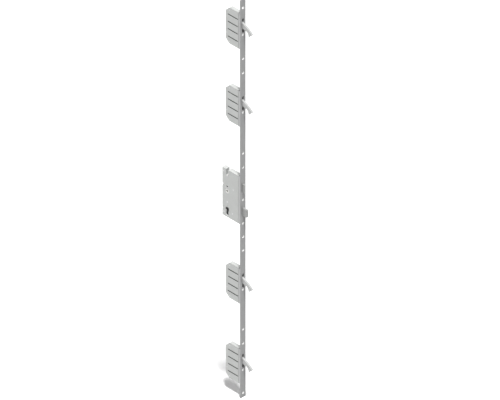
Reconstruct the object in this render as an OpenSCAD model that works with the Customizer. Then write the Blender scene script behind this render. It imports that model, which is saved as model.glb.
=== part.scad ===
// Multipoint door lock: one long faceplate carrying a central lock case and hook cases.
// Frame: origin on the spindle axis, +X out through the faceplate, +Y across the door, +Z up.

/* [Faceplate] */
// Distance from the spindle axis to the front of the faceplate
backset = 65; // [45:1:80]
// Width of the faceplate
face_w = 24; // [20:1:28]
// Thickness of the faceplate
face_t = 3; // [2.5:0.5:4]
// Height of the faceplate top above the spindle axis
face_top = 790; // [780:1:1100]
// Depth of the faceplate bottom below the spindle axis
face_bottom = 800; // [790:1:1100]
// Shank hole of the fixing screws
screw_hole_d = 4.6; // [4:0.1:5]
// Countersink of the fixing screws
screw_sink_d = 9.6; // [8:0.1:10]

/* [Case shells] */
// Outer thickness of every case
case_t = 16; // [16:0.5:18]
// Sheet thickness of the cases
sheet = 1.5; // [1.2:0.1:1.6]
// Distance from the faceplate front to the front edge of the covers
cover_front = 13; // [12:0.5:14]

/* [Main case] */
// Height of the main case above the spindle axis
main_top = 86.6; // [84:0.2:92]
// Depth of the main case below the spindle axis
main_bottom = 103.9; // [103.5:0.1:108]
// Free space between the drive wheel and the rear wall of the main case
main_room = 5; // [4:0.5:10]
// Radius of the drive wheel
wheel_r = 16.5; // [16:0.1:16.6]
// Distance between spindle and cylinder axes
cylinder_gap = 72; // [71.5:0.1:72.5]
// Round part of the profile cylinder hole
cylinder_d = 17.2; // [17:0.1:17.6]
// Width of the straight part of the profile cylinder hole
cylinder_stem_w = 10.2; // [10:0.1:10.6]
// Depth of the straight part below the cylinder axis
cylinder_stem_l = 24.5; // [24:0.1:25]
// Square hole for the spindle
spindle_side = 8; // [7:0.5:10]
// Height of the handle screw hole above the spindle axis
handle_hole_z = 18; // [17.5:0.1:19]
// Diameter of the handle screw hole
handle_hole_d = 8; // [6:0.5:8]
// Width of the open slot in the top of the main case
top_slot_w = 10; // [8:0.5:12]
// Depth of the open slot in the top of the main case
top_slot_l = 26; // [20:1:27]

/* [Latch and deadbolt] */
// Height of the latch centre above the spindle axis
latch_z = 41; // [40.5:0.1:41.5]
// Height of the latch head
latch_h = 34; // [30:1:35]
// Distance the latch stands out of the faceplate
latch_out = 11; // [9:0.5:11]
// Thickness of the latch and deadbolt
bolt_t = 7; // [6:0.5:7]
// Depth of the deadbolt centre below the spindle axis
dead_z = 52; // [51.5:0.5:53]
// Height of the deadbolt
dead_h = 30; // [26:1:31]
// Throw of the deadbolt and travel of the drive rods
throw = 20; // [18:1:20]

/* [Hook cases] */
// Height of the first hook above the spindle axis
hook_z1 = 698; // [600:1:720]
// Height of the second hook above the spindle axis
hook_z2 = 391; // [300:1:400]
// Height of the third hook, below the spindle axis
hook_z3 = -318; // [-360:1:-300]
// Height of the fourth hook, below the spindle axis
hook_z4 = -642; // [-680:1:-560]
// Height of the case above the hook
hook_case_up = 35; // [34:0.5:38]
// Depth of the case below the hook
hook_case_down = 106; // [104:0.5:110]
// Free space between a folded hook and the rear wall of its case
hook_room = 3.4; // [2.8:0.1:8]
// Chamfer of the rear corners of a hook case
hook_case_chamfer = 16; // [8:0.5:17]
// Thickness of a hook
hook_t = 7; // [6:0.5:7]
// Distance from the rear of a hook case to its pressed stiffening grooves
groove_in = 10; // [8:0.5:16]
// Distance from the grooves to the front edge of the cover
groove_end = 2.2; // [2:0.1:6]
// Height of the pressed stiffening grooves
groove_h = 4.6; // [3.5:0.1:5.5]
// Pitch of the pressed stiffening grooves
groove_pitch = 29; // [27:0.5:30]

/* [Drive rods] */
// Width of the drive rods
rod_w = 12; // [11:0.1:12.6]
// Thickness of the drive rods
rod_t = 2.6; // [2:0.1:2.8]
// Thickness of the sliders inside the cases
slider_t = 2.2; // [1.8:0.1:2.2]

/* [Hidden] */
$fn = 48;
eps = 0.01;
fx = backset;
bx = backset - face_t;
wall = case_t / 2;
inner = wall - sheet;
cover_x = fx - cover_front;
main_rear = -wheel_r - main_room - sheet;
hook_roots = [hook_z1, hook_z2, hook_z3, hook_z4];
rod_gap = 0.3;
rod_front = bx - rod_gap;
rod_back = rod_front - rod_t;
foot_t = 2.2;
foot_l = 14;
foot_back = rod_back - foot_t;
slider_y = 4;
strip_x = rod_back - 6.6;
case_hole_z = -48;
pivot_x = fx - 17;
pivot_z = -50;
pivot_r = 3;
pivot_seat_y = -4;
boss_r = 8;
pin_r = 2.5;
pin_arm = 10;
run = 0.1;
fold_r = 50.6;
hook_rear = pivot_x - fold_r - hook_room - sheet;
swing = 90;
arm_r = pin_arm * sqrt(2);
post_in = 7;
post_r = 3.5;
post_end = 2.5;
hook_post_in = 6;
hook_post_r = 3;
hook_post_end = 2;
front_post_x = 27.5;
main_posts_at = [
    [front_post_x, handle_hole_z],
    [fx - 41, -cylinder_gap - post_in],
    [main_rear + post_in, main_top - 12.6],
    [main_rear + post_in, -main_bottom + 15.9]
];
hook_posts_at = [
    [hook_rear + hook_post_in, pivot_z - hook_case_chamfer],
    [hook_rear + hook_case_chamfer + 0.5, -hook_case_down + 8],
    [hook_rear + hook_case_chamfer + 2.5, hook_case_up - 9]
];
rivet_d = 2.6;
screw_d = 4;
head_d = 8;
head_h = 2;
rivet_y = rod_w / 2 - rivet_d / 2 - 0.5;
sink_deep = 2.5;
seam = 1.2;
liner = 1.2;
seat_y = 5.2;
foot_low = 100;
foot_high = 40;
main_foot_high = 22;
main_foot_low = foot_l + 4;
slider_head = 28;
cam_low = 56;
cam_h = 36;
foot_starts = [
    hook_z1 - foot_low,
    hook_z2 + foot_high,
    hook_z2 - foot_low,
    main_top + main_foot_high,
    -main_bottom - main_foot_low,
    hook_z3 + foot_high,
    hook_z3 - foot_low,
    hook_z4 + foot_high
];
main_hole_1 = -6;
main_hole_2 = 0.1 - main_bottom + 4;
open_holes = [
    756,
    556,
    499,
    180,
    124,
    -154,
    -208,
    -526,
    -583,
    -783
];
wheel_z = -43;
gear_teeth = 17;
gear_module = 2;
gear_pitch = gear_teeth * gear_module / 2;
rack_x = gear_pitch;
tooth_y = bolt_t / 2 + 0.3;
cam_x = 46;
guide_x = 20;
guide_z = wheel_z + 9;
guide_r = 3;
tail_y = -6.1;
latch_tail_x = 12;
head_x = strip_x - 4.5;

// Piece to draw, or all of them

// A bar with square ends, given by its low and high corners
module block(x0, x1, y0, y1, z0, z1) {
    translate([x0, y0, z0])
        cube([x1 - x0, y1 - y0, z1 - z0]);
}

// A round bar across the case, from one y to another
module cross_pin(x, z, r, y0, y1) {
    translate([x, y1, z])
        rotate([90, 0, 0])
            cylinder(r = r, h = y1 - y0);
}

// A flat outline in x and z, thickened from one y to another
module plate(y0, y1) {
    translate([0, y1, 0])
        rotate([90, 0, 0])
            linear_extrude(y1 - y0)
                children();
}

// A flat slot with round ends between two points
module slot_2d(x0, z0, x1, z1, r) {
    len = sqrt(pow(x1 - x0, 2) + pow(z1 - z0, 2));
    translate([x0, z0])
        circle(r);
    translate([x1, z1])
        circle(r);
    translate([x0, z0])
        rotate(atan2(z1 - z0, x1 - x0))
            translate([0, -r])
                square([len, 2 * r]);
}

// A countersunk hole in the faceplate
module sunk_hole(z) {
    translate([bx - 1, 0, z])
        rotate([0, 90, 0])
            cylinder(d = screw_hole_d, h = face_t + 2);
    translate([fx - sink_deep, 0, z])
        rotate([0, 90, 0])
            cylinder(d1 = screw_hole_d, d2 = screw_sink_d, h = sink_deep);
    translate([fx - eps, 0, z])
        rotate([0, 90, 0])
            cylinder(d = screw_sink_d, h = 1);
}

module faceplate() {
    color([0.72, 0.73, 0.74])
        difference() {
            block(bx, fx, -face_w / 2, face_w / 2, -face_bottom, face_top);
            for (z = open_holes) {
                sunk_hole(z);
            }
            for (root = hook_roots) {
                sunk_hole(root + case_hole_z);
                block(bx - 1, fx + 1, -hook_t / 2 - 0.5, hook_t / 2 + 0.5, root - 40, root + 15);
            }
            sunk_hole(main_hole_1);
            sunk_hole(main_hole_2);
            block(bx - 1, fx + 1, -bolt_t / 2 - 0.3, bolt_t / 2 + 0.3,
                latch_z - latch_h / 2 - 0.3, latch_z + latch_h / 2 + 0.3);
            block(bx - 1, fx + 1, -bolt_t / 2 - 0.3, bolt_t / 2 + 0.3,
                -dead_z - dead_h / 2 - 0.3, -dead_z + dead_h / 2 + 0.3);
        }
}

// Outline of the profile cylinder opening, grown by a given amount
module cylinder_2d(d) {
    stem_r = cylinder_stem_w / 2;
    translate([0, -cylinder_gap])
        circle(cylinder_d / 2 + d);
    slot_2d(0, -cylinder_gap, 0, -cylinder_gap - cylinder_stem_l + stem_r, stem_r + d);
}

// Outline of the open slot in the case top, grown by a given amount
module top_slot_2d(d) {
    slot_2d(0, main_top - top_slot_l + top_slot_w / 2, 0, main_top + top_slot_w, top_slot_w / 2 + d);
}

// Profile cylinder opening, handle hole, top slot and rear notches, cut through both walls
module main_cutouts() {
    plate(-wall - 1, wall + 1) {
        cylinder_2d(0);
        translate([0, handle_hole_z])
            circle(d = handle_hole_d);
        top_slot_2d(0);
    }
    cross_pin(main_rear, 20, 4, -wall - 1, wall + 1);
    cross_pin(main_rear, -75, 3, -wall - 1, wall + 1);
}

// Bores for the follower, the wheel post and the riveted posts
module main_bores() {
    cross_pin(0, 0, 8.6, -wall - 1, wall + 1);
    cross_pin(0, wheel_z, 3, -wall - 1, wall + 1);
    for (at = main_posts_at) {
        cross_pin(at.x, at.y, post_end, -wall - 1, wall + 1);
    }
}

// Opening in the end wall of a case that lets the drive rods and their feet through
module rod_opening(z) {
    block(strip_x - 0.8, bx + 1, -inner, inner - 0.05, z - sheet, z + sheet);
}

module main_tray() {
    color([0.74, 0.75, 0.73])
        difference() {
            union() {
                block(main_rear, bx, inner, wall, -main_bottom, main_top);
                block(main_rear, main_rear + sheet, -inner, inner, -main_bottom, main_top);
                block(main_rear, bx, -inner, inner, main_top - sheet, main_top);
                block(main_rear, bx, -inner, inner, -main_bottom, -main_bottom + sheet);
                plate(-inner + 0.1, inner)
                    intersection() {
                        top_slot_2d(liner);
                        translate([-20, 0])
                            square([40, main_top]);
                    }
                plate(seat_y, inner)
                    cylinder_2d(liner);
            }
            main_cutouts();
            main_bores();
            rod_opening(-main_bottom + sheet / 2);
            rod_opening(main_top - sheet / 2);
        }
}

module main_cover() {
    color([0.74, 0.75, 0.73])
        difference() {
            union() {
                block(main_rear, cover_x, -wall, -inner, -main_bottom, main_top);
                cross_pin(guide_x, guide_z, guide_r, -inner - eps, tail_y + slider_t + run);
                plate(-inner - eps, -seat_y)
                    cylinder_2d(liner);
            }
            main_cutouts();
            main_bores();
        }
}

// Stepped post with riveted ends flush in both walls
module case_post(x, z, r, r_end) {
    cross_pin(x, z, r, -inner, inner);
    cross_pin(x, z, r_end, -wall, wall);
}

module main_posts() {
    color([0.66, 0.67, 0.68]) {
        for (at = main_posts_at) {
            case_post(at.x, at.y, post_r, post_end);
        }
        cross_pin(0, wheel_z, 3, -wall, wall);
        cross_pin(0, wheel_z, 5, -inner, -3.1);
        difference() {
            cross_pin(0, handle_hole_z, 5, -inner, inner);
            cross_pin(0, handle_hole_z, handle_hole_d / 2, -wall, wall);
        }
    }
}

// Spindle follower with a crescent window that clears the handle screw
module follower() {
    color([0.62, 0.6, 0.55])
        difference() {
            union() {
                cross_pin(0, 0, 8.5, -wall, wall);
                cross_pin(0, 0, 11, -inner + 0.2, inner - 0.2);
                plate(-2.5, 2.5)
                    intersection() {
                        circle(26);
                        polygon([[0, 0], [40 * cos(38), 40 * sin(38)], [15, 42], [40 * cos(118), 40 * sin(118)]]);
                    }
                plate(-2.5, 2.5)
                    rotate(-13)
                        translate([-2, 23])
                            square([4, 7.2]);
            }
            plate(-wall - 1, wall + 1)
                rotate(45)
                    square(spindle_side, center = true);
            plate(-wall - 1, wall + 1)
                rotate(-12.7)
                    intersection() {
                        difference() {
                            circle(handle_hole_z + 5.6);
                            circle(handle_hole_z - 5.6);
                        }
                        polygon([[0, 0], [40 * cos(59), 40 * sin(59)], [0, 44], [40 * cos(121), 40 * sin(121)]]);
                    }
        }
}

// Carriage that draws the latch back by its tail
module retractor() {
    color([0.66, 0.67, 0.68])
        union() {
            plate(-6.1, -3.9)
                polygon([[-1, 27.2], [16, 27.2], [16, 56], [-1, 56]]);
            block(-1, 2.8, -3.9 - eps, 2.5, 27.2, 31.5);
            block(12.6, 16, -3.9 - eps, 2.5, latch_z + 4, latch_z + 9);
            block(12.6, 16, -3.9 - eps, 2.5, latch_z - 9, latch_z - 4);
        }
}

module latch_bolt() {
    nose = fx + latch_out;
    color([0.78, 0.79, 0.8])
        union() {
            translate([0, 0, latch_z - latch_h / 2])
                linear_extrude(latch_h)
                    polygon([
                        [head_x, -bolt_t / 2],
                        [nose - 0.5, -bolt_t / 2],
                        [nose, -bolt_t / 2 + 0.5],
                        [nose, -bolt_t / 2 + 1.6],
                        [fx + 1.5, bolt_t / 2],
                        [head_x, bolt_t / 2]
                    ]);
            block(latch_tail_x - eps, head_x + eps, -2, 2, latch_z - 3, latch_z + 3);
            block(latch_tail_x - 4, latch_tail_x, -2.5, 2.5, latch_z - 8, latch_z + 8);
        }
}

// Compression spring round the latch tail
module latch_spring() {
    turns = 7;
    x0 = 21.4;
    x1 = head_x - 0.4;
    color([0.55, 0.56, 0.58])
        for (i = [0 : turns - 1]) {
            translate([x0 + 0.7 + i * (x1 - x0 - 1.4) / (turns - 1), 0, latch_z])
                rotate([0, 90, 0])
                    rotate_extrude($fn = 24)
                        translate([4.9, 0])
                            circle(0.65, $fn = 8);
        }
}

module spring_bracket() {
    color([0.66, 0.67, 0.68])
        difference() {
            block(19, 21, -inner, inner, latch_z - 12, latch_z + 12);
            block(18, 22, -2.4, 2.4, latch_z - 3.4, latch_z + 3.4);
        }
}

module deadbolt() {
    rear = cam_x - 8;
    tail_x = guide_x - 6;
    tail_z = wheel_z + 5;
    tail_h = 8;
    neck_x = cam_x + 4;
    neck_l = 10;
    color([0.78, 0.79, 0.8])
        union() {
            block(rear, fx + throw, -bolt_t / 2, bolt_t / 2, -dead_z - dead_h / 2, -dead_z + dead_h / 2);
            cross_pin(cam_x, -dead_z, pin_r, bolt_t / 2 - eps, slider_y + slider_t);
            plate(tail_y, tail_y + slider_t)
                difference() {
                    union() {
                        translate([tail_x, tail_z])
                            square([neck_x + neck_l - tail_x, tail_h]);
                        translate([neck_x, tail_z - neck_l])
                            square([neck_l, tail_h + neck_l]);
                    }
                    slot_2d(guide_x, guide_z, guide_x + throw, guide_z, guide_r + run);
                }
            block(neck_x, neck_x + neck_l, tail_y + slider_t - eps, -bolt_t / 2 + eps,
                tail_z - neck_l, tail_z - 1);
        }
}

// One gear tooth, flat, pointing along +x
module tooth_2d() {
    r = gear_pitch;
    polygon([
        [r - 2.4, -2.1],
        [r, -1.45],
        [r + 1.8, -0.75],
        [r + 1.8, 0.75],
        [r, 1.45],
        [r - 2.4, 2.1]
    ]);
}

// Wheel turned by the cylinder cam, with a toothed quadrant beside it
module drive_wheel() {
    first_tooth = -1;
    last_tooth = 4;
    step = 360 / gear_teeth;
    color([0.7, 0.62, 0.42])
        translate([0, 0, wheel_z])
            difference() {
                union() {
                    plate(-3, 3.4)
                        difference() {
                            circle(wheel_r);
                            for (a = [-90, -35, -145]) {
                                rotate(a)
                                    slot_2d(wheel_r - 5, 0, wheel_r + 4, 0, 2.6);
                            }
                        }
                    plate(3.4 - eps, slider_y + slider_t)
                        intersection() {
                            circle(gear_pitch - 2.3);
                            polygon([
                                [0, -6],
                                [40 * cos(-20), 40 * sin(-20)],
                                [40, 40],
                                [40 * cos(92), 40 * sin(92)],
                                [-8, 0],
                                [-5, -6]
                            ]);
                        }
                    plate(tooth_y, slider_y + slider_t)
                        for (i = [first_tooth : last_tooth]) {
                            rotate((i + 0.5) * step - step / 2)
                                tooth_2d();
                        }
                }
                cross_pin(0, 0, 3 + run, -wall, wall);
            }
}

// Slotted outline that lets a fixing screw pass while the rod travels
module screw_slot(z) {
    translate([0, 0, z])
        block(foot_back - 1, bx, -3, 3, -3.2, throw + 3.2);
}

// Cranked foot that joins a slider to the flat rod in front of it
module foot(z0) {
    block(foot_back, rod_back, -rod_w / 2, slider_y + slider_t, z0, z0 + foot_l);
}

module main_slide() {
    pitch = PI * gear_module;
    y0 = slider_y;
    y1 = slider_y + slider_t;
    color([0.66, 0.68, 0.7])
        difference() {
            union() {
                plate(y0, y1)
                    difference() {
                        union() {
                            translate([strip_x, -main_bottom - main_foot_low])
                                square([rod_back - strip_x, main_bottom + main_top + foot_l + main_foot_high + 20]);
                            polygon([
                                [rack_x + 2.3, -50],
                                [34, -50],
                                [40, -59],
                                [strip_x + 1, -59],
                                [strip_x + 1, -14],
                                [rack_x + 2.3, -14]
                            ]);
                            for (i = [-1 : 3]) {
                                translate([rack_x, wheel_z + (i + 0.5) * pitch])
                                    polygon([
                                        [2.6, -2.3],
                                        [0, -1.35],
                                        [-1.8, -0.65],
                                        [-1.8, 0.65],
                                        [0, 1.35],
                                        [2.6, 2.3]
                                    ]);
                            }
                        }
                        slot_2d(cam_x, -dead_z, cam_x - throw, -dead_z + throw, pin_r + run);
                    }
                foot(main_top + main_foot_high);
                foot(-main_bottom - main_foot_low);
            }
            screw_slot(main_hole_2);
            screw_slot(open_holes[4]);
            rivet_row(foot_back - 2, rod_front + 1);
        }
}

module rod(z0, z1, holes) {
    color([0.68, 0.7, 0.71])
        difference() {
            block(rod_back, rod_front, -rod_w / 2, rod_w / 2, z0, z1);
            for (z = holes) {
                screw_slot(z);
            }
            rivet_row(foot_back - 2, rod_front + 1);
        }
}

module rod_1() {
    rod(hook_z2 + foot_high, hook_z1 - foot_low + foot_l, [open_holes[1], open_holes[2]]);
}

module rod_2() {
    rod(main_top + main_foot_high, hook_z2 - foot_low + foot_l, [open_holes[3], open_holes[4]]);
}

module rod_3() {
    rod(hook_z3 + foot_high, -main_bottom - main_foot_low + foot_l, [main_hole_2, open_holes[5], open_holes[6]]);
}

module rod_4() {
    rod(hook_z4 + foot_high, hook_z3 - foot_low + foot_l, [open_holes[7], open_holes[8]]);
}

// Pairs of rivets through every rod end and the foot behind it, from one x to another
module rivet_row(x0, x1) {
    for (z0 = foot_starts) {
        for (dy = [-rivet_y, rivet_y]) {
            translate([x0, dy, z0 + foot_l / 2])
                rotate([0, 90, 0])
                    cylinder(d = rivet_d, h = x1 - x0);
        }
    }
}

module rod_rivets() {
    color([0.6, 0.61, 0.62])
        rivet_row(foot_back - 0.8, rod_front - 0.1);
}

// Slider with its cam slot, foot_up and foot_down say which ends carry a rod
module slider(root, foot_up, foot_down) {
    y0 = slider_y;
    y1 = slider_y + slider_t;
    color([0.66, 0.68, 0.7])
        difference() {
            translate([0, 0, root]) {
                plate(y0, y1)
                    difference() {
                        union() {
                            translate([strip_x, -foot_low])
                                square([rod_back - strip_x, foot_low + (foot_up ? foot_high + foot_l : slider_head)]);
                            translate([pivot_x - arm_r - 6, -cam_low])
                                square([strip_x - pivot_x + arm_r + 7, cam_h]);
                        }
                        slot_2d(pivot_x, pivot_z, pivot_x, pivot_z + throw, pivot_r + 0.4);
                        slot_2d(pivot_x - arm_r, pivot_z + 10, pivot_x - 10, pivot_z + 10, pin_r + 0.5);
                    }
                if (foot_up) {
                    foot(foot_high);
                }
                if (foot_down) {
                    foot(-foot_low);
                }
            }
            rivet_row(foot_back - 2, rod_front + 1);
        }
}

module slider_1() {
    slider(hook_z1, false, true);
}

module slider_2() {
    slider(hook_z2, true, true);
}

module slider_3() {
    slider(hook_z3, true, true);
}

module slider_4() {
    slider(hook_z4, true, false);
}

// Points of an arc round a centre, from one angle to another
function arc(c, r, a0, a1, n = 10) = [
    for (i = [0 : n])
        c + r * [cos(a0 + (a1 - a0) * i / n), sin(a0 + (a1 - a0) * i / n)]
];

// Flat outline of a hook: arched back, blunt nose, round claw and a shank down to the pivot
module hook_2d() {
    shoulder = arc([fx + 1.9, -15.8], 17.4, 177, 110, 6);
    back = arc([fx - 35.4, -106.4], 111.5, 73.6, 44.5, 12);
    nose = [[fx + 44, -29.4], [fx + 29.2, -43.1]];
    claw = arc([fx + 12.4, -39.5], 15.8, -11, 73, 8);
    neck = arc([fx - 0.4, -26.2], 4.8, 85, 165, 4);
    lobe = arc([pivot_x - pin_arm, pivot_z + pin_arm], pin_r + 2.4, 200, 85, 6);
    shank = [
        [pivot_x + boss_r - 0.2, pivot_z + 12],
        [pivot_x + boss_r - 0.1, pivot_z + 1],
        [pivot_x, pivot_z],
        [pivot_x - boss_r + 0.1, pivot_z + 1]
    ];
    polygon(concat(shoulder, back, nose, claw, neck, shank, lobe, [[pivot_x - 6, pivot_z + 16.5]]));
    translate([pivot_x, pivot_z])
        circle(boss_r);
}

// Swing hook in its thrown position, with the drive pin on its far side
module hook(root) {
    color([0.78, 0.79, 0.8])
        translate([0, 0, root])
            difference() {
                union() {
                    plate(-hook_t / 2, hook_t / 2)
                        hook_2d();
                    cross_pin(pivot_x - pin_arm, pivot_z + pin_arm, pin_r, hook_t / 2 - eps, slider_y + slider_t);
                }
                cross_pin(pivot_x, pivot_z, pivot_r + 1 + run, -wall, wall);
            }
}

module hook_1() {
    hook(hook_z1);
}

module hook_2() {
    hook(hook_z2);
}

module hook_3() {
    hook(hook_z3);
}

module hook_4() {
    hook(hook_z4);
}

// Outline of a hook case, inset by a given amount
module case_2d(front, d) {
    c = hook_case_chamfer - d * 0.6;
    polygon([
        [front, -hook_case_down + d],
        [hook_rear + d + c, -hook_case_down + d],
        [hook_rear + d, -hook_case_down + d + c],
        [hook_rear + d, hook_case_up - d - c],
        [hook_rear + d + c, hook_case_up - d],
        [front, hook_case_up - d]
    ]);
}

// Bores for the riveted posts of a hook case
module hook_bores() {
    for (at = hook_posts_at) {
        cross_pin(at.x, at.y, hook_post_end, -wall - 1, wall + 1);
    }
}

module hook_tray(root) {
    color([0.74, 0.75, 0.73])
        translate([0, 0, root])
            difference() {
                union() {
                    plate(inner, wall)
                        case_2d(bx, 0);
                    plate(-inner, inner + eps)
                        difference() {
                            case_2d(bx, 0);
                            case_2d(bx + 1, sheet);
                        }
                }
                hook_bores();
                cross_pin(pivot_x, pivot_z, pivot_r, inner - 1, wall + 1);
                rod_opening(-hook_case_down + sheet / 2);
                rod_opening(hook_case_up - sheet / 2);
            }
}

module hook_tray_1() {
    hook_tray(hook_z1);
}

module hook_tray_2() {
    hook_tray(hook_z2);
}

module hook_tray_3() {
    hook_tray(hook_z3);
}

module hook_tray_4() {
    hook_tray(hook_z4);
}

// The four grooves of a hook cover, flat and grown by a given amount
module grooves_2d(d) {
    mid = (hook_case_up - hook_case_down) / 2;
    r = groove_h / 2;
    for (i = [-1.5 : 1 : 1.5]) {
        z = mid + i * groove_pitch;
        slot_2d(hook_rear + groove_in + r, z, cover_x - groove_end - r, z, r + d);
    }
}

// Cover of a hook case with grooves pressed inwards and a seat for the pivot
module hook_cover(root) {
    depth = 2.2;
    lip = 0.8;
    color([0.74, 0.75, 0.73])
        translate([0, 0, root])
            difference() {
                union() {
                    plate(-wall, -inner)
                        case_2d(cover_x, 0);
                    plate(-inner - eps, -wall + depth + lip)
                        grooves_2d(lip);
                    cross_pin(pivot_x, pivot_z, pivot_r + 2, -inner - eps, pivot_seat_y);
                }
                plate(-wall - 1, -wall + depth)
                    grooves_2d(0);
                hook_bores();
                cross_pin(pivot_x, pivot_z, pivot_r, -inner + 1.4, pivot_seat_y + 1);
            }
}

module hook_cover_1() {
    hook_cover(hook_z1);
}

module hook_cover_2() {
    hook_cover(hook_z2);
}

module hook_cover_3() {
    hook_cover(hook_z3);
}

module hook_cover_4() {
    hook_cover(hook_z4);
}

module hook_pivots() {
    color([0.66, 0.67, 0.68])
        for (root = hook_roots) {
            cross_pin(pivot_x, root + pivot_z, pivot_r, -inner + 1.5, wall);
            cross_pin(pivot_x, root + pivot_z, pivot_r + 1, pivot_seat_y + 0.1, slider_y - 0.2);
        }
}

module hook_posts() {
    color([0.66, 0.67, 0.68])
        for (root = hook_roots) {
            translate([0, 0, root]) {
                for (at = hook_posts_at) {
                    case_post(at.x, at.y, hook_post_r, hook_post_end);
                }
            }
        }
}

// Strip that closes a case towards the faceplate, from one height to another
module side_strip(z0, z1) {
    block(cover_x + seam, bx, -wall, -inner, z0, z1);
}

// Side strips with the threaded blocks that take the countersunk case screws
module fixing_blocks() {
    block_y = slider_y - 0.4;
    color([0.6, 0.61, 0.62])
        difference() {
            union() {
                for (root = hook_roots) {
                    side_strip(root - hook_case_down, root + hook_case_up);
                    block(bx - 5.5, bx - 0.2, -inner - eps, block_y, root + case_hole_z - 4, root + case_hole_z + 4);
                }
                side_strip(-main_bottom, main_top);
                block(bx - 9, bx - 0.2, -inner - eps, block_y, main_hole_1 - 5, main_hole_1 + 5);
                block(foot_back - 8, foot_back - 0.7, -inner - eps, block_y, -main_bottom + sheet, main_hole_2 + 5);
            }
            for (z = concat([main_hole_1, main_hole_2], [for (root = hook_roots) root + case_hole_z])) {
                translate([0, 0, z])
                    rotate([0, 90, 0])
                        cylinder(d = screw_d, h = fx);
            }
        }
}

// Countersunk screw that holds a case to the faceplate
module case_screw(z, len) {
    head_top = fx - 0.6;
    translate([0, 0, z])
        difference() {
            union() {
                translate([head_top - head_h, 0, 0])
                    rotate([0, 90, 0])
                        cylinder(d1 = screw_d, d2 = head_d, h = head_h);
                translate([head_top - len, 0, 0])
                    rotate([0, 90, 0])
                        cylinder(d = screw_d, h = len - head_h + 0.1);
            }
            block(head_top - 0.9, head_top + 1, -2.2, 2.2, -0.5, 0.5);
            block(head_top - 0.9, head_top + 1, -0.5, 0.5, -2.2, 2.2);
        }
}

module fixing_screws() {
    color([0.7, 0.71, 0.72]) {
        for (root = hook_roots) {
            case_screw(root + case_hole_z, 7.6);
        }
        case_screw(main_hole_1, 11);
        case_screw(main_hole_2, 15.5);
    }
}

faceplate();
main_tray();
main_cover();
main_posts();
follower();
retractor();
latch_bolt();
latch_spring();
spring_bracket();
deadbolt();
drive_wheel();
main_slide();
rod_1();
rod_2();
rod_3();
rod_4();
rod_rivets();
hook_1();
hook_2();
hook_3();
hook_4();
hook_tray_1();
hook_tray_2();
hook_tray_3();
hook_tray_4();
hook_cover_1();
hook_cover_2();
hook_cover_3();
hook_cover_4();
slider_1();
slider_2();
slider_3();
slider_4();
hook_pivots();
hook_posts();
fixing_blocks();
fixing_screws();
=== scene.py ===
import math
import bpy
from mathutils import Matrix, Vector


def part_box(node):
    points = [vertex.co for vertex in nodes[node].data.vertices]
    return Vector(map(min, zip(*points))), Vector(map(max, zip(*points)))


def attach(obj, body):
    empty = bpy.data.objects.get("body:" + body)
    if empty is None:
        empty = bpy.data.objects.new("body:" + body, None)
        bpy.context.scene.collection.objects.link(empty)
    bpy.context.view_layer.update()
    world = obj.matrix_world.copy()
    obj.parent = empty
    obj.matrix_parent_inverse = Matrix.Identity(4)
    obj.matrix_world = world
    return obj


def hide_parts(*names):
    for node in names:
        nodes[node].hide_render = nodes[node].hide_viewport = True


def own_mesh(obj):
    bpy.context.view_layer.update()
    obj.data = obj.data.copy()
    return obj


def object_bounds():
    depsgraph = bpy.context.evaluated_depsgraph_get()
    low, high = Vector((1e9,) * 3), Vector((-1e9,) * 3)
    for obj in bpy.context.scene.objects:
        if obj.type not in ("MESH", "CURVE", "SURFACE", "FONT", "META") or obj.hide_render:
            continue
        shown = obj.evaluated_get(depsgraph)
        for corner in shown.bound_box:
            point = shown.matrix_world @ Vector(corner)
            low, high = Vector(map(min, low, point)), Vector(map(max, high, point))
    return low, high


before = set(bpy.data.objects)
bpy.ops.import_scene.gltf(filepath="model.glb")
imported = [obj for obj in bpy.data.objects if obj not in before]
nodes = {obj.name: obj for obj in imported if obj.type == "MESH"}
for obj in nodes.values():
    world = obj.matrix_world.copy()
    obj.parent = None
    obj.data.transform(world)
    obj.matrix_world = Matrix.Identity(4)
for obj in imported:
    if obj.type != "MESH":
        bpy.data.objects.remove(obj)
size_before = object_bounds()
cases = (1, 2, 3, 4)


# Faceplate.
# The real piece is a rolled steel strip with a satin zinc finish, punched and countersunk from the front.
# Its rolled faces carry a fine grain along the strip; countersinks, hole walls and broken edges carry
# painted light, a much brighter colour than the strip.
class Sock:
    """A shader socket whose operators add the maths nodes that they stand for."""

    def __init__(self, tree, out):
        self.tree = tree
        self.out = out

    def node(self, kind, inputs=(), output=0, **settings):
        n = self.tree.nodes.new(kind)
        for key, value in settings.items():
            setattr(n, key, value)
        for key, value in dict(inputs).items():
            if isinstance(value, Sock):
                self.tree.links.new(value.out, n.inputs[key])
            else:
                n.inputs[key].default_value = value
        return Sock(self.tree, n.outputs[output])

    def maths(self, operation, other):
        return self.node("ShaderNodeMath", {0: self, 1: other}, operation=operation)

    def __add__(self, other):
        return self.maths("ADD", other)

    def __mul__(self, other):
        return self.maths("MULTIPLY", other)

    def ramp(self, low, high, to_low=0.0, to_high=1.0):
        ends = {"Value": self, "From Min": low, "From Max": high, "To Min": to_low, "To Max": to_high}
        return self.node("ShaderNodeMapRange", ends)

    def blend(self, a, b):
        """Colour a where this socket is 0, and b where it is 1."""
        return self.node("ShaderNodeMix", {0: self, 6: a, 7: b}, output=2, data_type="RGBA")


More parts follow.
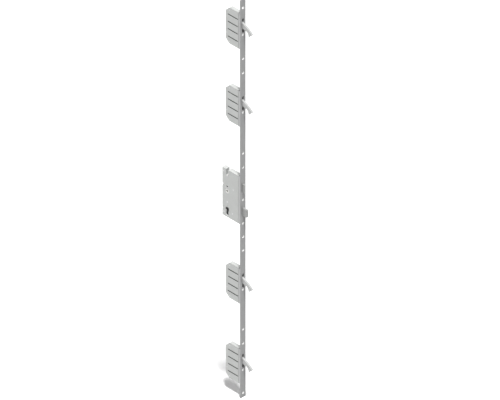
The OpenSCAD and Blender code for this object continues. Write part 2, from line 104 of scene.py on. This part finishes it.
def worked_metal(name, color, rough=0.5, metallic=0.12, grain_run=(1, 1, 1), grain=900.0, bump=0.06,
                 blotch=0.05, slant_painted_light=None, sunk=None):
    """Metal with soft blotches, a fine grain along grain_run and faint handling marks.

    blotch is the share by which the blotches are darker and lighter. cut is painted light: the brighter
    colour of faces that aren't square to the piece, and sunk the pair of Y between which a painted shade
    darkens the metal.
    """
    mat = bpy.data.materials.new(name)
    mat.use_nodes = True
    tree = mat.node_tree
    shader = tree.nodes["Principled BSDF"]
    places = tree.nodes.new("ShaderNodeTexCoord")
    where = Sock(tree, places.outputs["Object"])
    facing = Sock(tree, places.outputs["Normal"])
    cloud = where.node("ShaderNodeTexNoise", {"Vector": where, "Scale": 38.0, "Detail": 4.0})
    along = where.node("ShaderNodeMapping", {"Vector": where, "Scale": grain_run})
    fine = where.node("ShaderNodeTexNoise", {"Vector": along, "Scale": grain, "Detail": 3.0})
    wear = {"Vector": where, "Scale": 210.0, "Detail": 6.0, "Roughness": 0.7}
    marks = where.node("ShaderNodeTexNoise", wear).ramp(0.62, 0.72)
    tone = cloud.ramp(0.3, 0.7)
    dark, light, handled, shaded = (
        tuple(c * share for c in color) + (1,) for share in (1 - blotch, 1 + blotch, 0.86, 0.2)
    )
    base = (marks * 0.35).blend(tone.blend(dark, light), handled)
    if slant_painted_light:
        size = facing.node("ShaderNodeVectorMath", {0: facing}, operation="ABSOLUTE")
        parts = [size.node("ShaderNodeSeparateXYZ", {0: size}, output=i) for i in range(3)]
        flat = parts[0].maths("MAXIMUM", parts[1].maths("MAXIMUM", parts[2]))
        # Painted light: faces that aren't square to the piece, such as hole walls, countersinks and broken
        # edges, take a brighter colour.
        base = flat.ramp(0.93, 0.985).blend(slant_painted_light + (1,), base)
    if sunk:
        # Painted shade: between the two given Y the colour darkens to a fifth, and stays so deeper into the
        # piece.
        depth = where.node("ShaderNodeSeparateXYZ", {0: where}, output=1)
        base = depth.ramp(*sunk).blend(base, shaded)
    tree.links.new(base.out, shader.inputs["Base Color"])
    roughness = tone.ramp(0.0, 1.0, rough - 0.04, rough + 0.04) + fine.ramp(0.3, 0.7, -0.05, 0.05)
    tree.links.new((roughness + marks * 0.08).out, shader.inputs["Roughness"])
    bumped = fine.node("ShaderNodeBump", {"Height": fine, "Strength": bump, "Distance": 0.0004})
    tree.links.new(bumped.out, shader.inputs["Normal"])
    shader.inputs["Metallic"].default_value = metallic
    return mat


def dress(mat, *names):
    """Give CAD nodes one material."""
    for name in names:
        nodes[name].data.materials.clear()
        nodes[name].data.materials.append(mat)


def soften(*names, width):
    """Broken edges of one width on CAD nodes, by modifiers only."""
    for name in names:
        weld = nodes[name].modifiers.new("joined corners", "WELD")
        weld.merge_threshold = 0.00001
        edge = nodes[name].modifiers.new("broken edges", "BEVEL")
        edge.width = width
        edge.segments = 2
        edge.limit_method = "ANGLE"
        edge.angle_limit = math.radians(40)
        edge.harden_normals = False


# Painted light: the countersinks, hole walls and broken edges of the faceplate take a much brighter colour.
strip_metal = worked_metal("satin_strip", (0.345, 0.348, 0.348), grain_run=(1, 1, 0.04), grain=1400.0,
                           slant_painted_light=(0.86, 0.86, 0.85))
dress(strip_metal, "faceplate")
soften("faceplate", width=0.0004)

# Side strips and fixing blocks.
# Cold drawn steel strips that close each case towards the faceplate, with welded blocks tapped for the
# They take the faceplate's satin grain in a lighter colour, painted light that lifts the shade beside the
# faceplate's edge.
# Painted light: the strips are given a lighter colour than the faceplate.
lit_drawn_metal = worked_metal("drawn_strip", (0.5, 0.504, 0.504), grain_run=(1, 1, 0.05), grain=1300.0)
dress(lit_drawn_metal, "fixing_blocks")
soften("fixing_blocks", width=0.0002)

# Central case: tray and cover.
# Two pressings of zinc plated steel sheet, closed over the works and held together by the riveted posts.
# The walls of the punched openings and the broken edges carry painted light, a slightly brighter colour
# than the sheet.
sheet_color = (0.465, 0.475, 0.465)
sheet_finish = {"grain": 700.0, "bump": 0.05, "blotch": 0.03}
sheet_metal = worked_metal("plated_sheet", sheet_color, **sheet_finish, slant_painted_light=(0.5, 0.5, 0.49))
dress(sheet_metal, "main_tray", "main_cover")
soften("main_tray", "main_cover", width=0.0002)

# Hook cases: trays and covers.
# The same plated sheet. The four grooves are pressed inwards to stiffen the cover against the slider.
# Their walls and floors, and the cover's inner side, carry a painted shade: the colour darkens to a fifth
# with depth into the cover.
cover_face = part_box("hook_cover_1")[0].y
groove_shade_depths = (0.0001, 0.0006)
groove_shade_metal = worked_metal("grooved_cover_shade", sheet_color, **sheet_finish,
                           sunk=[cover_face + depth for depth in groove_shade_depths])
for i in cases:
    dress(sheet_metal, "hook_tray_%d" % i)
    dress(groove_shade_metal, "hook_cover_%d" % i)
    soften("hook_tray_%d" % i, "hook_cover_%d" % i, width=0.0002)

# Swing hooks.
# Forged steel, tumbled smooth and nickel plated; each turns on a shouldered pin in its case.
# Brighter than the cases, because it is the part that wears on the keep.
nickel = worked_metal("nickel_plate", (0.44, 0.444, 0.44), rough=0.38, grain=800.0, bump=0.03, blotch=0.02)
for i in cases:
    dress(nickel, "hook_%d" % i)
    soften("hook_%d" % i, width=0.0006)

# Deadbolt and latch.
# Solid bars, nickel plated like the hooks, and ground on the faces that slide through the faceplate.
ground_nickel = worked_metal("ground_nickel", (0.31, 0.314, 0.31), rough=0.4, metallic=0.1,
                             grain_run=(0.06, 1, 1), grain=1100.0, bump=0.04, blotch=0.02)
dress(ground_nickel, "deadbolt", "latch_bolt")
soften("deadbolt", "latch_bolt", width=0.0004)

# Drive rods, sliders, main slide, latch carriage and spring bracket.
# Flat zinc plated steel strip, stamped to shape; the rods run close behind the faceplate.
stamped = worked_metal("stamped_strip", (0.42, 0.425, 0.43), rough=0.42, metallic=0.6,
                       grain_run=(1, 1, 0.08), grain=1200.0)
stampings = ["main_slide", "retractor", "spring_bracket"]
stampings += ["rod_%d" % i for i in cases] + ["slider_%d" % i for i in cases]
dress(stamped, *stampings)
soften(*stampings, width=0.0002)

# Follower.
# Pressure cast zinc alloy with a slightly grainy skin; it takes the square spindle of the handle.
cast = worked_metal("cast_zinc", (0.62, 0.62, 0.6), metallic=0.2, grain=500.0, bump=0.12, blotch=0.06)
dress(cast, "follower")
soften("follower", width=0.0003)

# Drive wheel.
# Sintered steel, zinc plated; the cam of the cylinder turns it, and its teeth drive the main slide.
sintered = worked_metal("sintered_steel", (0.68, 0.67, 0.63), rough=0.45, metallic=0.25,
                        grain=600.0, bump=0.1)
dress(sintered, "drive_wheel")
soften("drive_wheel", width=0.0002)

# Posts, pivots, rivets and case screws.
# Turned steel. The posts are riveted flush in both walls, and the screws sit sunk in the faceplate.
turned = worked_metal("turned_steel", (0.62, 0.624, 0.63), rough=0.34, metallic=0.4, bump=0.04)
dress(turned, "main_posts", "hook_pivots", "hook_posts", "rod_rivets")
screw_metal = worked_metal("bright_screw", (0.93, 0.93, 0.92), rough=0.32, metallic=0.2, bump=0.03)
dress(screw_metal, "fixing_screws")

# Latch spring.
# One coil of bare spring wire round the latch tail, between the bracket and the latch head.
# A wire profile follows a spiral of evenly spaced turns, which stay as they are when the latch is pressed
# in.
spring_wire = worked_metal("spring_wire", (0.4, 0.41, 0.43), rough=0.3, metallic=0.8)
spring_low, spring_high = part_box("latch_spring")
spring_length = spring_high.x - spring_low.x
spring_turns = 7.0
wire_r = 0.00065
coil_r = (spring_high.z - spring_low.z) / 2 - wire_r


def finished(tree, name, body, inputs):
    """The plain mesh piece that a geometry tree makes, riding on a body."""
    holder = bpy.data.objects.new(name + "_maker", bpy.data.meshes.new(name + "_maker"))
    bpy.context.collection.objects.link(holder)
    modifier = holder.modifiers.new("maker", "NODES")
    modifier.node_group = tree
    for item in tree.interface.items_tree:
        if item.in_out == "INPUT" and item.name in inputs:
            modifier[item.identifier] = inputs[item.name]
    graph = bpy.context.evaluated_depsgraph_get()
    mesh = bpy.data.meshes.new_from_object(holder.evaluated_get(graph))
    bpy.data.objects.remove(holder)
    piece = bpy.data.objects.new(name, mesh)
    bpy.context.collection.objects.link(piece)
    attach(piece, body)
    return piece


class Tree:
    """A geometry tree with named float inputs, built node by node."""

    def __init__(self, name, *inputs):
        self.group = bpy.data.node_groups.new(name, "GeometryNodeTree")
        self.group.interface.new_socket("Geometry", in_out="INPUT", socket_type="NodeSocketGeometry")
        for label in inputs:
            self.group.interface.new_socket(label, in_out="INPUT", socket_type="NodeSocketFloat")
        self.group.interface.new_socket("Geometry", in_out="OUTPUT", socket_type="NodeSocketGeometry")
        self.given = self.group.nodes.new("NodeGroupInput")
        self.result = self.group.nodes.new("NodeGroupOutput")

    def add(self, kind, inputs=(), **settings):
        n = self.group.nodes.new(kind)
        for key, value in settings.items():
            setattr(n, key, value)
        for key, value in dict(inputs).items():
            if isinstance(value, bpy.types.NodeSocket):
                self.group.links.new(value, n.inputs[key])
            else:
                n.inputs[key].default_value = value
        return n

    def end(self, geometry, material):
        real = self.add("GeometryNodeRealizeInstances", {0: geometry})
        smooth = self.add("GeometryNodeSetShadeSmooth", {"Geometry": real.outputs[0]})
        painted = self.add("GeometryNodeSetMaterial", {"Geometry": smooth.outputs[0], "Material": material})
        self.group.links.new(painted.outputs[0], self.result.inputs[0])
        return self.group


coil = Tree("coil spring", "Length", "Coil radius", "Wire radius", "Turns", "Start", "Height")
spiral = coil.add("GeometryNodeCurveSpiral", {
    "Resolution": 24,
    "Rotations": coil.given.outputs["Turns"],
    "Start Radius": coil.given.outputs["Coil radius"],
    "End Radius": coil.given.outputs["Coil radius"],
    "Height": coil.given.outputs["Length"],
})
seat = coil.add("ShaderNodeCombineXYZ", {0: coil.given.outputs["Start"], 2: coil.given.outputs["Height"]})
laid = coil.add("GeometryNodeTransform", {
    "Geometry": spiral.outputs[0],
    "Translation": seat.outputs[0],
    "Rotation": (0, math.radians(90), 0),
})
section = coil.add("GeometryNodeCurvePrimitiveCircle", {
    "Resolution": 10,
    "Radius": coil.given.outputs["Wire radius"],
})
wound = coil.add("GeometryNodeCurveToMesh", {
    "Curve": laid.outputs[0],
    "Profile Curve": section.outputs[0],
    "Fill Caps": True,
})
spring = finished(coil.end(wound.outputs[0], spring_wire), "latch_coil", "lock", {
    "Length": spring_length - 2 * wire_r,
    "Coil radius": coil_r,
    "Wire radius": wire_r,
    "Turns": spring_turns,
    "Start": spring_low.x + wire_r,
    "Height": (spring_low.z + spring_high.z) / 2,
})
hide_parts("latch_spring")
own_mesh(spring)


# Peened rings of the posts.
# Each post end is riveted over in its hole, which leaves a low bright ring on both walls of a case.
# One lathed ring is set at every post end.
walls = [corner.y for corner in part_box("hook_posts")]


def rings(name, spots, radius, rise=0.0002):
    """A low ring round the post ends, in both walls, for the X and Z of each post."""
    marks = bpy.data.meshes.new(name + "_places")
    marks.from_pydata([(x, y, z) for x, z in spots for y in walls], [], [])
    holder = bpy.data.objects.new(name + "_places", marks)
    bpy.context.collection.objects.link(holder)
    tree = Tree(name, "Radius", "Rise")
    source = tree.add("GeometryNodeObjectInfo", {"Object": holder})
    circle = tree.add("GeometryNodeCurvePrimitiveCircle", {
        "Resolution": 28,
        "Radius": tree.given.outputs["Radius"],
    })
    bead = tree.add("GeometryNodeCurvePrimitiveCircle", {
        "Resolution": 8,
        "Radius": tree.given.outputs["Rise"],
    })
    ring = tree.add("GeometryNodeCurveToMesh", {
        "Curve": circle.outputs[0],
        "Profile Curve": bead.outputs[0],
    })
    upright = Vector((0, 1, 0)).to_track_quat("Z", "Y").to_euler()
    laid_ring = tree.add("GeometryNodeTransform", {"Geometry": ring.outputs[0], "Rotation": tuple(upright)})
    points = tree.add("GeometryNodeMeshToPoints", {"Mesh": source.outputs["Geometry"]})
    copies = tree.add("GeometryNodeInstanceOnPoints", {
        "Points": points.outputs[0],
        "Instance": laid_ring.outputs[0],
    })
    made = tree.end(copies.outputs[0], turned)
    finished(made, name, "lock", {"Radius": radius, "Rise": rise})
    bpy.data.objects.remove(holder)


hook_post_spots = []
for i in cases:
    low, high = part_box("hook_tray_%d" % i)
    rear_post = (low.x + 0.006, low.z + 0.040)
    lower_post = (low.x + 0.0165, low.z + 0.008)
    upper_post = (low.x + 0.0185, high.z - 0.009)
    hook_post_spots += [rear_post, lower_post, upper_post]
rings("hook_post_rings", hook_post_spots, radius=0.0019)
low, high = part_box("main_tray")
front_posts = [(0.0275, 0.018), (0.024, -0.079)]
rear_x = low.x + 0.007
rear_posts = [(rear_x, high.z - 0.0126), (rear_x, low.z + 0.0159)]
rings("main_post_rings", front_posts + rear_posts, radius=0.0024)

# Floor.
# Not part of the object: a pale ground under the standing lock, plain white to the eye.
# It throws back less light than it shows, so the undersides stay darker than the tops.
floor_gap = 0.002
bpy.ops.mesh.primitive_plane_add(size=60, location=(0, 0, size_before[0].z - floor_gap))
floor = bpy.context.object
floor.name = "floor"
ground = bpy.data.materials.new("pale_floor")
ground.use_nodes = True
floor_tree = ground.node_tree
floor_shader = floor_tree.nodes["Principled BSDF"]


def shown_white(tree):
    """1 for rays from the camera and for mirrored and refracted ones."""
    path = tree.nodes.new("ShaderNodeLightPath")
    kinds = ("Camera", "Glossy", "Transmission")
    seen, glossy, through = (Sock(tree, path.outputs["Is %s Ray" % kind]) for kind in kinds)
    return seen.maths("MAXIMUM", glossy.maths("MAXIMUM", through))


bounced, shown = (0.2, 0.2, 0.2, 1), (0.9, 0.9, 0.9, 1)
pale = shown_white(floor_tree).blend(bounced, shown)
floor_tree.links.new(pale.out, floor_shader.inputs["Base Color"])
floor_shader.inputs["Roughness"].default_value = 0.95
floor.data.materials.append(ground)

# World.
# White for the camera, mirror and glass rays, and a softer even light for the rest.
world = bpy.data.worlds.new("studio")
bpy.context.scene.world = world
world.use_nodes = True
backdrop = world.node_tree.nodes["Background"]
even_light, shown_light = 0.22, 1.0
level = shown_white(world.node_tree).ramp(0.0, 1.0, even_light, shown_light)
world.node_tree.links.new(level.out, backdrop.inputs["Strength"])
backdrop.inputs["Color"].default_value = (1, 1, 1, 1)


# Lights.
# A key from above and in front of the faceplate throws the short shadows under hooks and bolts.
# A wide fill lights the case side, and a weaker one the back.
def lamp(name, energy, spread, toward):
    """A sun that shines from one direction, its size in degrees."""
    light = bpy.data.lights.new(name, "SUN")
    light.energy = energy
    light.angle = math.radians(spread)
    holder = bpy.data.objects.new(name, light)
    bpy.context.collection.objects.link(holder)
    holder.rotation_euler = Vector(toward).to_track_quat("Z", "Y").to_euler()


lamp("key", energy=4.4, spread=9, toward=(0.26, -0.153, 0.953))
lamp("fill", energy=1.45, spread=40, toward=(-0.1, -0.9, 0.43))
lamp("back", energy=1.2, spread=40, toward=(-0.62, 0.78, 0.03))

# Camera.
# The picture is an isometric drawing, so the camera stands far off at the corner, with a very long lens.
# The aim lies a little high, which spreads what is left of the perspective over both ends.
far = 58.0
picture_width = 1.633
aim = Vector((0.081, 0.016, -0.007))
toward = Vector((1, -1, 1)).normalized()
lens = bpy.data.cameras.new("camera")
eye = bpy.data.objects.new("camera", lens)
bpy.context.collection.objects.link(eye)
bpy.context.scene.camera = eye
eye.location = aim + toward * far
eye.rotation_euler = toward.to_track_quat("Z", "Y").to_euler()
lens.sensor_width = 36
lens.lens = lens.sensor_width * far / picture_width
lens.clip_start = 1
lens.clip_end = 400
bpy.context.scene.view_settings.view_transform = "Standard"
